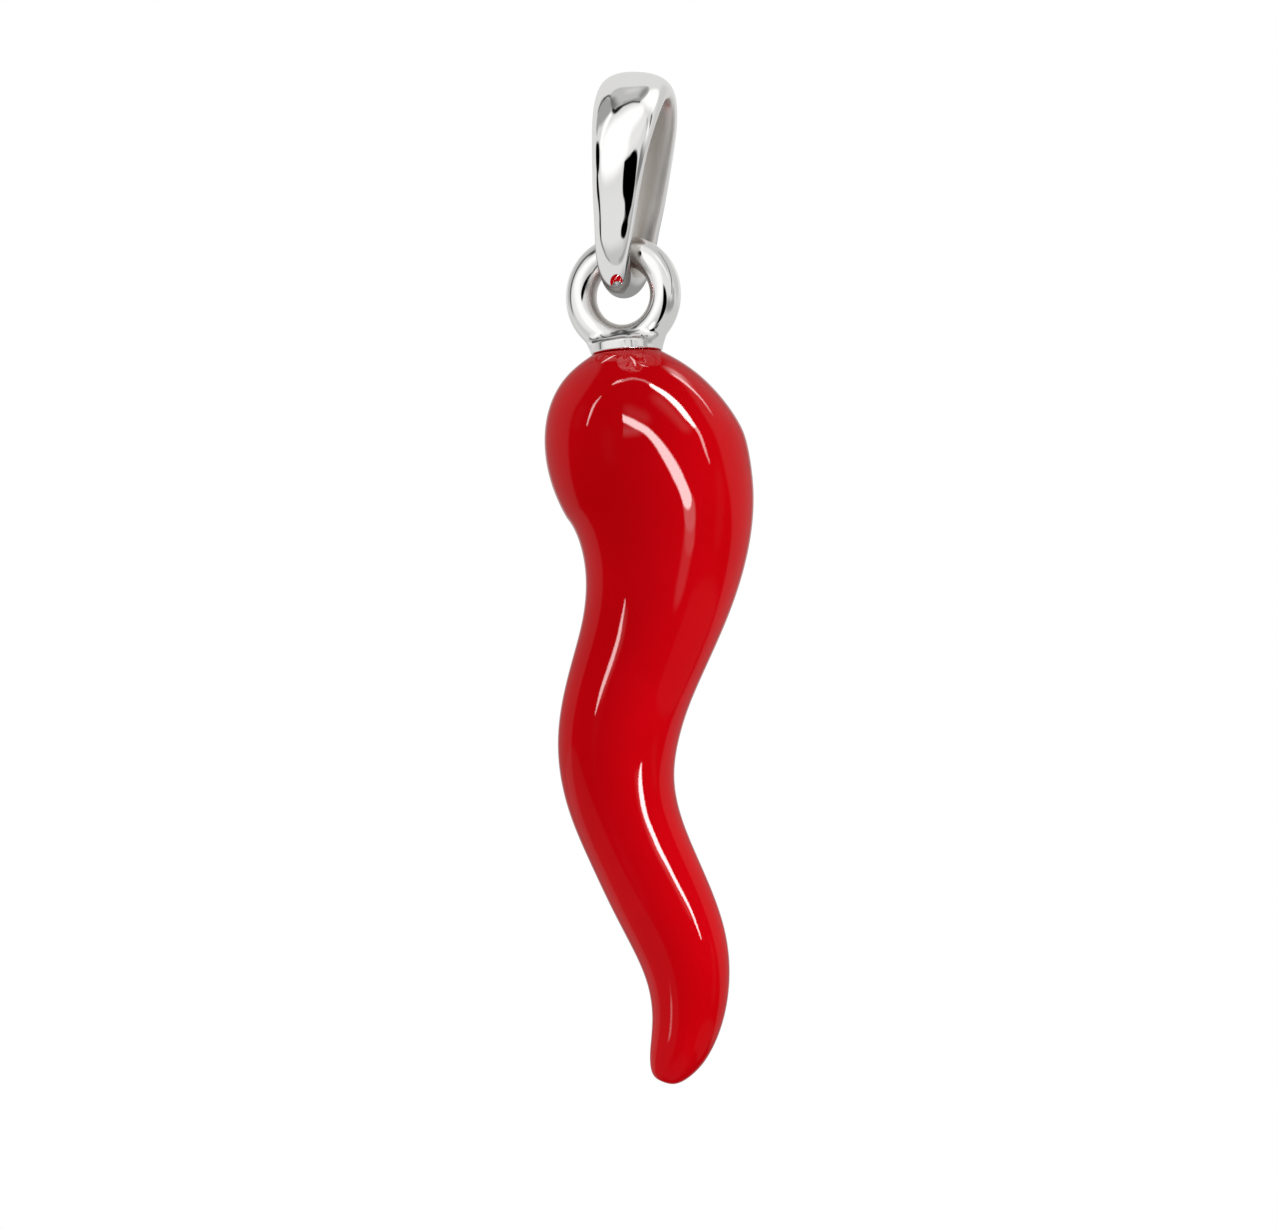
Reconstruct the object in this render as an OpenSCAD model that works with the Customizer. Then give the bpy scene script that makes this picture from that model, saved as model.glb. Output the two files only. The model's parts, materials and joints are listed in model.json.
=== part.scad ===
// Cornicello: a small horn charm that swings from a teardrop bail.
// The inside top of the bail, where a chain runs through, is the origin.
// Z points up, X lies across the charm as it is looked at, Y points away from the viewer.

/* [Bail] */
// Clear height inside the bail's loop
bail_inner_h = 5.78; // [4.6:0.02:8]
// Widest clear gap between the bail's two strands
bail_gap = 1.84; // [1.6:0.02:2.6]
// Width of the band where it arches over the chain
bail_w = 2.44; // [1.6:0.02:3.4]
// Thickness of the band at the middle of its dome
bail_t = 0.98; // [0.7:0.02:1.4]
// Diameter of the round wire that the bail tapers to at its bottom turn
bail_wire = 1.06; // [0.8:0.02:1.4]
// How far the bail leans out of upright, in degrees
bail_lean = 4.6; // [0:0.2:8]

/* [Eyelet and cap] */
// Diameter of the eyelet's wire
ring_wire = 1.07; // [0.8:0.01:1.3]
// How much wider the eyelet's hole is than the bail's wire in it
ring_play = 0.96; // [0.7:0.02:1.6]
// Diameter of the collar under the eyelet
collar_d = 2.46; // [2:0.02:3.4]
// Height of the collar's straight side
collar_h = 0.38; // [0.25:0.01:0.8]
// Width of the hollow fillet between the collar and the eyelet's wire
collar_flare = 0.42; // [0.3:0.01:0.5]
// How far the eyelet's wire is sunk below the collar's seat
ring_sink = 0.08; // [0.04:0.01:0.3]
// Diameter of the peg that holds the cap in the horn
peg_d = 1.1; // [0.8:0.02:1.5]
// Length of the peg below the collar
peg_l = 3.4; // [2:0.1:5]

/* [Horn] */
// Length of the horn from its seat to its tip, along the pendant's axis
horn_len = 25.14; // [18:0.02:34]
// Thickness of the horn at its shoulder
horn_d = 7; // [5.4:0.05:9]
// Reach of the horn's S curve to either side of the axis
horn_sway = 1.2; // [0.2:0.05:1.8]
// How far the pendant's axis leans out of upright, in degrees
pendant_lean = 3.7; // [0:0.1:8]

/* [Clearances] */
// Gap between the bail's wire and the inside of the eyelet's hole
swing_gap = 0.04; // [0.02:0.01:0.1]
// Gap at each side of the eyelet's wire in the bail's bottom turn
turn_gap = 0.14; // [0.1:0.01:0.3]
// Gap between the cap and the horn, filled by a film of glue on the real thing
glue_gap = 0.03; // [0.02:0.005:0.06]
// Depth of the horn's bore past the end of the peg
bore_spare = 0.2; // [0.1:0.05:0.5]

/* [Hidden] */
$fn = 64;

// Columns of the section tables
RISE = 0;
REACH = 1;
SPREAD = 2;
DROP = 0;
SWAY = 1;
GIRTH = 2;

// One strand of the bail, from just above its bottom turn to the top of the arch.
// Rise is a share of the height from the turn's centre to the chain seat, reach a share of
// half the gap, and spread how far the section has gone from round wire to domed band.
STRAND_ROWS = [
    [0.16, 0.82, 0.26],
    [0.33, 0.98, 0.40],
    [0.51, 1.01, 0.54],
    [0.68, 0.98, 0.70],
    [0.84, 0.82, 0.90],
    [0.975, 0.46, 1.00],
    [1.02, 0.00, 1.00]
];

// The horn, from its seat to its tip. Drop is a share of the length, sway a share of the
// reach of the S curve, and girth a share of half the shoulder's thickness.
HORN_ROWS = [
    [0.000, 0.00, 0.350],
    [0.012, 0.00, 0.495],
    [0.036, 0.02, 0.705],
    [0.080, 0.12, 0.905],
    [0.140, 0.37, 1.005],
    [0.200, 0.80, 0.940],
    [0.265, 0.83, 0.835],
    [0.330, 0.57, 0.730],
    [0.395, 0.06, 0.645],
    [0.460, -0.60, 0.610],
    [0.530, -1.08, 0.595],
    [0.600, -1.08, 0.540],
    [0.670, -0.64, 0.490],
    [0.740, -0.04, 0.490],
    [0.810, 0.58, 0.460],
    [0.870, 0.76, 0.400],
    [0.925, 0.60, 0.340],
    [0.970, 0.16, 0.275],
    [1.000, -0.24, 0.140],
    [1.000, -0.26, 0.000]
];

// How far round from the bottom the exact wire turn goes, to each side
TURN_HALF = 45;
// How far the swept band laps over the ends of that turn, in steps of its rows
TURN_LAP = 0.02;
// Size of the band's end sections, as a share of the wire, so that they close round it
PROUD = 1.02;
// Angle between the control rows of the bottom turn
TURN_STEP = 45;
// Roundness of the domed outside and of the flat inside of the band, 2 being round
DOME_POWER = 2.3;
FLAT_POWER = 4;
// Height of the band's widest line above its inside, as a share of its thickness
EDGE_ROUND = 0.5;
EDGE_BAND = 0.3;
// Share of the horn's length over which its sections turn from square to the seat to square
// to the spine
SHOULDER = 0.2;
// Points round a section, and sections from one row of a table to the next
BAIL_SIDES = 32;
BAIL_STEPS = 5;
HORN_SIDES = 44;
HORN_STEPS = 4;

turn_r = ring_wire / 2 + turn_gap;
turn_axis_z = -bail_inner_h + turn_r;
pivot_drop = bail_inner_h + bail_wire / 2;
pivot = [-pivot_drop * sin(bail_lean), 0, -pivot_drop * cos(bail_lean)];
hole_r = (bail_wire + ring_play) / 2;
ring_r = hole_r + ring_wire / 2;
ring_z = bail_wire / 2 + swing_gap - hole_r;
seat_z = ring_z - ring_r - ring_wire / 2 + ring_sink;
bore_d = peg_d + 2 * glue_gap;
bore_l = peg_l + bore_spare;

// Point of a uniform cubic B-spline, share f of the way through its four rows
function blend(a, b, c, d, f) =
    (pow(1 - f, 3) * a
    + (3 * pow(f, 3) - 6 * pow(f, 2) + 4) * b
    + (-3 * pow(f, 3) + 3 * pow(f, 2) + 3 * f + 1) * c
    + pow(f, 3) * d) / 6;

// Row of an open table at place u, with its ends carried on so that the curve meets them
function row_at(rows, u) =
    let (
        n = len(rows),
        i = min(floor(u), n - 2),
        before = i > 0 ? rows[i - 1] : 2 * rows[0] - rows[1],
        after = i < n - 2 ? rows[i + 2] : 2 * rows[n - 1] - rows[n - 2]
    )
    blend(before, rows[i], rows[i + 1], after, u - i);

// Row of a closed table at place u
function loop_at(rows, u) =
    let (n = len(rows), i = floor(u))
    blend(rows[(i + n - 1) % n], rows[i % n], rows[(i + 1) % n], rows[(i + 2) % n], u - i);

function power(value, exponent) = sign(value) * pow(abs(value), exponent);

// A closed skin over a list of rings of points, capped flat at both ends
module skin(rings) {
    sides = len(rings[0]);
    last = len(rings) - 1;
    points = [for (ring = rings, p = ring) p];
    walls = [
        for (i = [0 : last - 1], j = [0 : sides - 1])
            let (
                a = i * sides + j,
                b = i * sides + (j + 1) % sides
            )
            each [[a, b, b + sides], [a, b + sides, a + sides]]
    ];
    start = [for (j = [sides - 1 : -1 : 0]) j];
    end = [for (j = [0 : sides - 1]) last * sides + j];
    polyhedron(points, concat([start], walls, [end]), convexity = 6);
}

// Control rows of the bail's inside, [depth, height, spread], round the whole loop.
// The bottom turn's rows stand on the circle that makes the curve pass at its radius.
TURN_REACH = turn_r * 3 / (2 + cos(TURN_STEP));
function turn_row(angle, spread) =
    [TURN_REACH * sin(angle), turn_axis_z - TURN_REACH * cos(angle), spread];
function strand_row(row, side) = [
    side * row[REACH] * bail_gap / 2,
    turn_axis_z * (1 - row[RISE]),
    row[SPREAD]
];
TOP_ROW = len(STRAND_ROWS) - 1;
BAIL_ROWS = concat(
    [turn_row(0, 0), turn_row(TURN_STEP, 0.01), turn_row(2 * TURN_STEP, 0.14)],
    [for (row = STRAND_ROWS) strand_row(row, 1)],
    [for (i = [TOP_ROW - 1 : -1 : 0]) strand_row(STRAND_ROWS[i], -1)],
    [turn_row(-2 * TURN_STEP, 0.14), turn_row(-TURN_STEP, 0.01)]
);

// One section of the band: across it along X, out from the inside of the loop
function band_section(spread, swell) =
    let (
        half_w = (bail_wire + (bail_w - bail_wire) * spread) / 2,
        thick = bail_wire + (bail_t - bail_wire) * spread,
        edge = thick * (EDGE_ROUND + (EDGE_BAND - EDGE_ROUND) * spread),
        dome = 2 / (2 + (DOME_POWER - 2) * spread),
        flat = 2 / (2 + (FLAT_POWER - 2) * spread)
    )
    [
        for (k = [0 : BAIL_SIDES - 1])
            let (
                turn = -360 * (k + 0.5) / BAIL_SIDES,
                out = sin(turn) > 0
                    ? (thick - edge) * power(sin(turn), dome)
                    : edge * power(sin(turn), flat)
            )
            swell * [half_w * power(cos(turn), out > 0 ? dome : flat), out] + [0, edge]
    ];

function band_ring(u, swell) =
    let (
        row = loop_at(BAIL_ROWS, u),
        ahead = loop_at(BAIL_ROWS, u + 0.01),
        behind = loop_at(BAIL_ROWS, u - 0.01),
        way = ahead - behind,
        along = [way[0], way[1]] / norm([way[0], way[1]]),
        outward = [along[1], -along[0]]
    )
    [
        for (p = band_section(row[SPREAD], swell))
            [p[0], row[0] + p[1] * outward[0], row[1] + p[1] * outward[1]]
    ];

// The bail: a domed band that arches over the chain and tapers to a round wire turn
module bail() {
    start = TURN_HALF / TURN_STEP - TURN_LAP;
    end = len(BAIL_ROWS) - start;
    count = round((end - start) * BAIL_STEPS);
    rings = [
        for (i = [0 : count])
            band_ring(start + (end - start) * i / count, i == 0 || i == count ? PROUD : 1)
    ];
    color("silver") rotate([0, bail_lean, 0]) {
        skin(rings);
        translate([0, 0, turn_axis_z]) rotate([90, 0, 90])
            rotate_extrude(angle = 2 * TURN_HALF, start = 270 - TURN_HALF)
                translate([turn_r + bail_wire / 2, 0]) circle(d = bail_wire);
    }
}

// Everything on the pendant hangs from the centre of the bail's wire and shares its lean
module hang() {
    translate(pivot) rotate([0, -pendant_lean, 0]) children();
}

// The eyelet, its collar and its peg, soldered into one cap
module eyelet_cap() {
    collar_r = collar_d / 2;
    // Hollow fillet as a quarter arc from the collar's rim in to the wire
    flare = [
        for (a = [0 : 15 : 90])
            [collar_r - collar_flare * sin(a), collar_h + collar_flare * (1 - cos(a))]
    ];
    color("silver") hang() {
        difference() {
            translate([0, 0, ring_z]) rotate([90, 0, 0])
                rotate_extrude() translate([ring_r, 0]) circle(d = ring_wire);
            translate([-ring_r, -ring_wire, seat_z - ring_wire])
                cube([2 * ring_r, 2 * ring_wire, ring_wire]);
        }
        translate([0, 0, seat_z]) rotate_extrude()
            polygon(concat([[0, 0], [collar_r, 0]], flare, [[0, collar_h + collar_flare]]));
        translate([0, 0, seat_z - peg_l]) cylinder(d = peg_d, h = peg_l + collar_h);
    }
}

// Round sections square to the horn's spine, from the seat down to the tip
function horn_ring(u) =
    let (
        last = len(HORN_ROWS) - 1,
        row = row_at(HORN_ROWS, u),
        // The last stretch keeps one direction, where the tip closes
        held = min(u, last - 1.6),
        way = row_at(HORN_ROWS, held + 0.02) - row_at(HORN_ROWS, max(held - 0.02, 0)),
        follow = min(row[DROP] / SHOULDER, 1),
        lean = follow * atan2(way[SWAY] * horn_sway, way[DROP] * horn_len),
        x = row[SWAY] * horn_sway,
        z = -row[DROP] * horn_len,
        r = row[GIRTH] * horn_d / 2
    )
    [
        for (k = [0 : HORN_SIDES - 1])
            let (
                turn = 360 * k / HORN_SIDES,
                out = r * cos(turn)
            )
            [x + out * cos(lean), r * sin(turn), z + out * sin(lean)]
    ];

// The horn: one solid S-curved taper with a blind bore for the cap's peg
module horn() {
    last = len(HORN_ROWS) - 1;
    count = last * HORN_STEPS;
    rings = [for (i = [0 : count]) horn_ring((i < count ? i : count - 0.15) / HORN_STEPS)];
    color("crimson") hang() translate([0, 0, seat_z - glue_gap]) difference() {
        skin(rings);
        translate([0, 0, -bore_l]) cylinder(d = bore_d, h = bore_l + 1);
    }
}

bail();
eyelet_cap();
horn();
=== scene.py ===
# %% [markdown]
# # A cornicello charm in polished silver and red enamel
#
# The object is a small horn charm, 35 mm from the top of its bail to its tip. Three pieces
# make it: a domed bail bent into a teardrop loop, a ring eyelet melted onto a collar with a
# peg, and a red horn that bends twice. All three are mirror-bright, so the lesson is mostly
# about clean curvature: a bump of a hundredth of a millimetre shows as a broken highlight.
#
# The frame that is loaded here holds the same pieces as plain solids. They say where
# everything goes, and the finer pieces made below stand in for them.

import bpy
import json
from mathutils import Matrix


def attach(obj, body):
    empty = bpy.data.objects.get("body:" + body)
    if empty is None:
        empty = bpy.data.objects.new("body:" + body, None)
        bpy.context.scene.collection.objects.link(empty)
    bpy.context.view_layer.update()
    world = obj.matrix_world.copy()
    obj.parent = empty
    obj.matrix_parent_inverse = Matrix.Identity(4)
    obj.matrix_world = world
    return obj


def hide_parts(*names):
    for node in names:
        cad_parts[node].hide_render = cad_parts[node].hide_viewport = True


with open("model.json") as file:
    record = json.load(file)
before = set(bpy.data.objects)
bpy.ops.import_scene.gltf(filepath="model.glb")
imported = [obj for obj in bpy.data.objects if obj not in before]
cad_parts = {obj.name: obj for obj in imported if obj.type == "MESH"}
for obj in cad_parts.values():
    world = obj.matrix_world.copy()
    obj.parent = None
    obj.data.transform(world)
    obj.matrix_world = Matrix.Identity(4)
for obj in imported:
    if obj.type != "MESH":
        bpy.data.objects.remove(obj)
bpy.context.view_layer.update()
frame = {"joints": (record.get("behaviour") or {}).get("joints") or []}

# %% Tools of this lesson
import json
import math

import bmesh
import bpy
import numpy as np
from mathutils import Matrix, Vector

MM = 0.001
scene = bpy.context.scene

# %% [markdown]
# ## The driving sizes
#
# A jeweller works from a handful of measures: the wire, the play in the eyelet, the length and
# thickness of the horn, and how far its curve sways. They could be read off the loaded
# meshes, but a measured mesh only gives its outer box. Written out as named values in
# millimetres, they say what is meant, and each piece below is worked out from them.

# %% Sizes in millimetres
BAIL_INNER_H, BAIL_GAP = 5.78, 1.84
BAIL_W, BAIL_T, BAIL_WIRE = 2.44, 0.98, 1.06
BAIL_LEAN = math.radians(4.6)
RING_WIRE, RING_PLAY, RING_SINK = 1.07, 0.96, 0.08
COLLAR_D, COLLAR_H = 2.46, 0.38
PEG_D, PEG_L = 1.1, 3.4
HORN_LEN, HORN_D, HORN_SWAY = 25.14, 7.0, 1.2
PENDANT_LEAN = math.radians(3.7)
SWING_GAP, TURN_GAP, GLUE_GAP, BORE_SPARE = 0.04, 0.14, 0.03, 0.2

TURN_R = RING_WIRE / 2 + TURN_GAP
TURN_AXIS_Z = TURN_R - BAIL_INNER_H
HOLE_R = (BAIL_WIRE + RING_PLAY) / 2
RING_R = HOLE_R + RING_WIRE / 2
RING_Z = BAIL_WIRE / 2 + SWING_GAP - HOLE_R
SEAT_Z = RING_Z - RING_R - RING_WIRE / 2 + RING_SINK
print("ring radius", round(RING_R, 3), "collar seat", round(SEAT_Z, 3), "below the hinge")

# %% [markdown]
# ## Two places to stand
#
# The bail hangs from the chain and leans a little, and the rest hangs from the bail's bottom
# wire and leans the other way. Each piece is made upright about its own zero point and in
# millimetres, where the numbers stay readable, and one matrix then drops it into the frame in
# metres. The hinge's place comes from the frame's joint, so the two sides can't drift apart.

# %% Matrices for the two bodies
PIVOT = Vector(frame["joints"][0]["pos_m"])
TO_METRES = Matrix.Scale(MM, 4)
BAIL_PLACE = Matrix.Rotation(BAIL_LEAN, 4, "Y") @ TO_METRES
PENDANT_PLACE = (
    Matrix.Translation(PIVOT) @ Matrix.Rotation(-PENDANT_LEAN, 4, "Y") @ TO_METRES
)
HORN_PLACE = PENDANT_PLACE @ Matrix.Translation((0, 0, SEAT_Z - GLUE_GAP))
print("hinge at", [round(x / MM, 3) for x in PIVOT], "mm")

# %% [markdown]
# ## A short way to write a node tree
#
# Geometry Nodes can be built by hand in the editor or by a script. By hand one sees the wires;
# a script can be read and rerun. The helpers below keep it short: a node is made with its
# settings and its inputs in one call, and a wire is made wherever an input is another
# node's output and not a plain value.

# %% Node helpers
def put(tree, kind, inputs=None, **settings):
    node = tree.nodes.new(kind)
    for name, value in settings.items():
        setattr(node, name, value)
    for key, value in (inputs or {}).items():
        if isinstance(value, bpy.types.NodeSocket):
            tree.links.new(value, node.inputs[key])
        else:
            node.inputs[key].default_value = value
    return node


def calc(tree, operation, *values):
    inputs = dict(enumerate(values))
    return put(tree, "ShaderNodeMath", inputs, operation=operation).outputs[0]


def new_tree(name, sockets):
    tree = bpy.data.node_groups.new(name, "GeometryNodeTree")
    face = tree.interface
    face.new_socket("Geometry", in_out="OUTPUT", socket_type="NodeSocketGeometry")
    for label, kind in sockets:
        face.new_socket(label, in_out="INPUT", socket_type="NodeSocket" + kind)
    return tree, put(tree, "NodeGroupInput").outputs


def run_tree(tree, name, values):
    holder = bpy.data.objects.new(name, bpy.data.meshes.new(name))
    scene.collection.objects.link(holder)
    modifier = holder.modifiers.new("build", "NODES")
    modifier.node_group = tree
    for item in tree.interface.items_tree:
        if item.in_out == "INPUT":
            modifier[item.identifier] = values[item.name]
    graph = bpy.context.evaluated_depsgraph_get()
    mesh = bpy.data.meshes.new_from_object(holder.evaluated_get(graph))
    holder.modifiers.remove(modifier)
    holder.data = mesh
    mesh.name = name
    return holder


print("helpers ready")

# %% [markdown]
# ## Guide curves from short tables
#
# The horn and the bail both change their section along a path. Each is described by a short
# table of rows, and a row is one control point of a cubic B-spline. The spline is chosen over
# one that passes through its rows, because its curvature has no jumps, and polished metal or
# enamel shows each jump as a kink in a reflection. Blender's own NURBS curve of order 4 is that
# spline. Its three coordinates needn't be a place: here one of them carries the section's
# size, so that the curve hands it over just as smoothly.

# %% Guide curve maker
SPLINE_ORDER = 4
SPLINE_STEPS = 96


def guide_curve(name, rows, closed):
    if not closed:
        # One more row past each end makes the curve start and stop on the first and last row
        rows = [2 * rows[0] - rows[1], *rows, 2 * rows[-1] - rows[-2]]
    data = bpy.data.curves.new(name, "CURVE")
    data.dimensions = "3D"
    spline = data.splines.new("NURBS")
    spline.points.add(len(rows) - 1)
    for point, row in zip(spline.points, rows):
        point.co = (*row, 1)
    spline.order_u = SPLINE_ORDER
    spline.resolution_u = SPLINE_STEPS
    spline.use_cyclic_u = closed
    guide = bpy.data.objects.new(name, data)
    scene.collection.objects.link(guide)
    return guide


print("splines of order", SPLINE_ORDER)

# %% [markdown]
# ## Wrapping a sheet into a tube
#
# Both sweeps start as a flat grid of quads. One side of the grid runs along the path and the
# other runs once round the section, and a Set Position node sends each point to its place. Curve
# to Mesh would be quicker to wire, but it always sets sections square to the path, and the
# horn's sections turn gently near the seat, while the bail's change their shape. The grid's
# two long edges then lie on each other and are merged, so no seam is left.

# %% The parts that both sweeps share
MERGE_AT = 0.0005


def open_grid(tree, rings, sides):
    across = calc(tree, "ADD", rings, 1)
    around = calc(tree, "ADD", sides, 1)
    size = {"Vertices X": across, "Vertices Y": around, "Size X": 1.0, "Size Y": 1.0}
    grid = put(tree, "GeometryNodeMeshGrid", size)
    place = put(tree, "GeometryNodeInputPosition").outputs[0]
    share = put(tree, "ShaderNodeSeparateXYZ", {0: place}).outputs
    along = calc(tree, "ADD", share[0], 0.5)
    turn = calc(tree, "MULTIPLY", calc(tree, "ADD", share[1], 0.5), math.tau)
    return grid.outputs["Mesh"], along, turn


def sample(tree, guide, share):
    info = put(tree, "GeometryNodeObjectInfo", {"Object": guide})
    inputs = {"Curves": info.outputs["Geometry"], "Factor": share}
    node = put(tree, "GeometryNodeSampleCurve", inputs, mode="FACTOR")
    point = put(tree, "ShaderNodeSeparateXYZ", {0: node.outputs["Position"]})
    way = put(tree, "ShaderNodeSeparateXYZ", {0: node.outputs["Tangent"]})
    return point.outputs, way.outputs


def close_up(tree, mesh, place, material):
    moved = put(tree, "GeometryNodeSetPosition", {"Geometry": mesh, "Position": place})
    inputs = {"Geometry": moved.outputs[0], "Distance": MERGE_AT}
    merged = put(tree, "GeometryNodeMergeByDistance", inputs)
    real = put(tree, "GeometryNodeRealizeInstances", {0: merged.outputs[0]})
    dressed = put(tree, "GeometryNodeSetMaterial", {0: real.outputs[0], "Material": material})
    put(tree, "NodeGroupOutput", {0: dressed.outputs[0]})


print("merging at", MERGE_AT, "mm")

# %% [markdown]
# ## Helpers for finishes
#
# A finish could be painted by hand on an unwrapped mesh, but clouds in enamel and scratches in
# silver are far too small and too many for that. Here each is worked out from noise over the
# piece's own coordinates, in metres, so a scale of 1000 gives grains of about a millimetre.
# Noise keeps to the middle of its range, so a small helper stretches that middle out.

# %% Material helpers
NOISE_LOW, NOISE_HIGH = 0.3, 0.7


def new_material(name):
    material = bpy.data.materials.new(name)
    material.use_nodes = True
    tree = material.node_tree
    shader = tree.nodes["Principled BSDF"]
    place = put(tree, "ShaderNodeTexCoord").outputs["Object"]
    return material, tree, shader, place


def noise(tree, place, scale, detail):
    inputs = {"Vector": place, "Scale": scale, "Detail": detail}
    return put(tree, "ShaderNodeTexNoise", inputs).outputs["Fac"]


def ramp(tree, value, low, high):
    inputs = {
        "Value": value,
        "From Min": NOISE_LOW,
        "From Max": NOISE_HIGH,
        "To Min": low,
        "To Max": high,
    }
    return put(tree, "ShaderNodeMapRange", inputs).outputs["Result"]


def mix(tree, share, first, second):
    # Sockets 6 and 7 of the Mix node are its two colours, and output 2 is the mixed one
    inputs = {0: share, 6: first, 7: second}
    return put(tree, "ShaderNodeMix", inputs, data_type="RGBA").outputs[2]


print("noise is read from", NOISE_LOW, "to", NOISE_HIGH)

# %% [markdown]
# ## Polished silver
#
# The bail and the cap are cast, tumbled and buffed, so they are almost mirrors. A plain
# metallic shader would do from afar, but real buffing leaves soft patches that are a little
# duller, and hairlines that only show where a light grazes them. Both come from noise: a slow
# one for the patches and a stretched one for the hairlines. No buffing wheel reaches inside a
# loop two millimetres wide, so there the metal stays satin and tarnishes to a warmer grey. The
# meshes carry that as an attribute named inside, 0 on the outside and 1 on the inner faces.

# %% Silver material
silver, tree, shader, place = new_material("polished_silver")
patches = noise(tree, place, 650, 3)
stretched = put(tree, "ShaderNodeMapping", {"Vector": place, "Scale": (1, 6, 1)}).outputs[0]
hairlines = noise(tree, stretched, 5200, 2)
inside = put(tree, "ShaderNodeAttribute", attribute_name="inside").outputs["Fac"]
buffed = mix(tree, patches, (0.92, 0.915, 0.905, 1), (0.97, 0.965, 0.955, 1))
tarnished = mix(tree, patches, (0.68, 0.65, 0.615, 1), (0.80, 0.765, 0.73, 1))
tree.links.new(mix(tree, inside, buffed, tarnished), shader.inputs["Base Color"])
satin = calc(tree, "MULTIPLY", inside, ramp(tree, patches, 0.34, 0.46))
polish = calc(tree, "ADD", ramp(tree, patches, 0.008, 0.022), ramp(tree, hairlines, 0.0, 0.008))
tree.links.new(calc(tree, "ADD", polish, satin), shader.inputs["Roughness"])
shader.inputs["Metallic"].default_value = 1
bump = put(tree, "ShaderNodeBump", {"Height": hairlines, "Strength": 0.03, "Distance": 1e-6})
tree.links.new(bump.outputs[0], shader.inputs["Normal"])
print("silver made with", len(tree.nodes), "nodes")

# %% [markdown]
# ## Red enamel
#
# The horn is a deep, slightly bluish red under a hard gloss. One flat red would look like
# printed plastic. The real colour is a pigment hung in a clear body, so it clouds a little, in
# slow drifts, and its surface is flowed and cured and so isn't a perfect mirror. A slow noise
# mixes two reds, a finer one stirs the roughness, and a very low bump bends the highlights by a
# hair, as a flowed surface does.

# %% Red enamel material
enamel, tree, shader, place = new_material("red_enamel")
drifts = noise(tree, place, 260, 3)
colour = mix(tree, drifts, (0.50, 0.0, 0.002, 1), (0.64, 0.001, 0.006, 1))
rough = ramp(tree, noise(tree, place, 1500, 4), 0.015, 0.035)
tree.links.new(colour, shader.inputs["Base Color"])
tree.links.new(rough, shader.inputs["Roughness"])
shader.inputs["IOR"].default_value = 1.5
flow = noise(tree, place, 420, 0)
bump = put(tree, "ShaderNodeBump", {"Height": flow, "Strength": 0.03, "Distance": 3e-6})
tree.links.new(bump.outputs[0], shader.inputs["Normal"])
print("enamel made with", len(tree.nodes), "nodes")

# %% [markdown]
# ## The horn
#
# The horn is round all the way down and bends twice, so it is one outline table: how far down,
# how far the middle sways, and how thick it is there. It could be sculpted, but then the taper
# and the bends would fight each other. As a swept sheet each has its own column. Its sections
# start square to the seat, so that the cap sits flat, and then turn square to the spine.

# %% Horn outline
HORN_ROWS = [
    # drop, sway, girth: shares of the length, of the sway and of half the shoulder
    (0.000, 0.00, 0.350),
    (0.012, 0.00, 0.495),
    (0.036, 0.02, 0.705),
    (0.080, 0.12, 0.905),
    (0.140, 0.37, 1.005),
    (0.200, 0.80, 0.940),
    (0.265, 0.83, 0.835),
    (0.330, 0.57, 0.730),
    (0.395, 0.06, 0.645),
    (0.460, -0.60, 0.610),
    (0.530, -1.08, 0.595),
    (0.600, -1.08, 0.540),
    (0.670, -0.64, 0.490),
    (0.740, -0.04, 0.490),
    (0.810, 0.58, 0.460),
    (0.870, 0.76, 0.400),
    (0.925, 0.60, 0.340),
    (0.970, 0.16, 0.275),
    (1.000, -0.24, 0.140),
    (1.000, -0.26, 0.000),
]
horn_guide = guide_curve(
    "horn_guide",
    [
        Vector((sway * HORN_SWAY, girth * HORN_D / 2, -drop * HORN_LEN))
        for drop, sway, girth in HORN_ROWS
    ],
    closed=False,
)
print(len(HORN_ROWS), "rows over", HORN_LEN, "mm")

# %% Horn tree
tree, horn_in = new_tree("horn_sweep", [
    ("Guide", "Object"),
    ("Rings", "Int"),
    ("Sides", "Int"),
    ("Shoulder", "Float"),
    ("Tip starts", "Float"),
    ("Material", "Material"),
])
sheet, along, turn = open_grid(tree, horn_in["Rings"], horn_in["Sides"])
spot, _ = sample(tree, horn_in["Guide"], along)
# Past the start of the tip the direction is held, so that its rounding doesn't turn the sections
held = calc(tree, "MINIMUM", along, horn_in["Tip starts"])
_, way = sample(tree, horn_in["Guide"], held)
down = calc(tree, "MULTIPLY", way["Z"], -1.0)
# From the seat down to the shoulder the sections turn more and more with the spine
follow = calc(tree, "MINIMUM", calc(tree, "DIVIDE", spot["Z"], horn_in["Shoulder"]), 1.0)
lean = calc(tree, "MULTIPLY", calc(tree, "ARCTAN2", way["X"], down), follow)
out = calc(tree, "MULTIPLY", spot["Y"], calc(tree, "COSINE", turn))
place = put(tree, "ShaderNodeCombineXYZ", {
    "X": calc(tree, "ADD", spot["X"], calc(tree, "MULTIPLY", out, calc(tree, "COSINE", lean))),
    "Y": calc(tree, "MULTIPLY", spot["Y"], calc(tree, "SINE", turn)),
    "Z": calc(tree, "ADD", spot["Z"], calc(tree, "MULTIPLY", out, calc(tree, "SINE", lean))),
})
close_up(tree, sheet, place.outputs[0], horn_in["Material"])
print("horn tree has", len(tree.nodes), "nodes")

# %% Build the horn
HORN_RINGS, HORN_SIDES = 400, 144
SHOULDER_SHARE, TIP_SHARE = 0.2, 0.94

horn_piece = run_tree(tree, "horn_body", {
    "Guide": horn_guide,
    "Rings": HORN_RINGS,
    "Sides": HORN_SIDES,
    "Shoulder": -SHOULDER_SHARE * HORN_LEN,
    "Tip starts": TIP_SHARE,
    "Material": enamel,
})
print("horn sheet:", len(horn_piece.data.vertices), "points")

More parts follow.
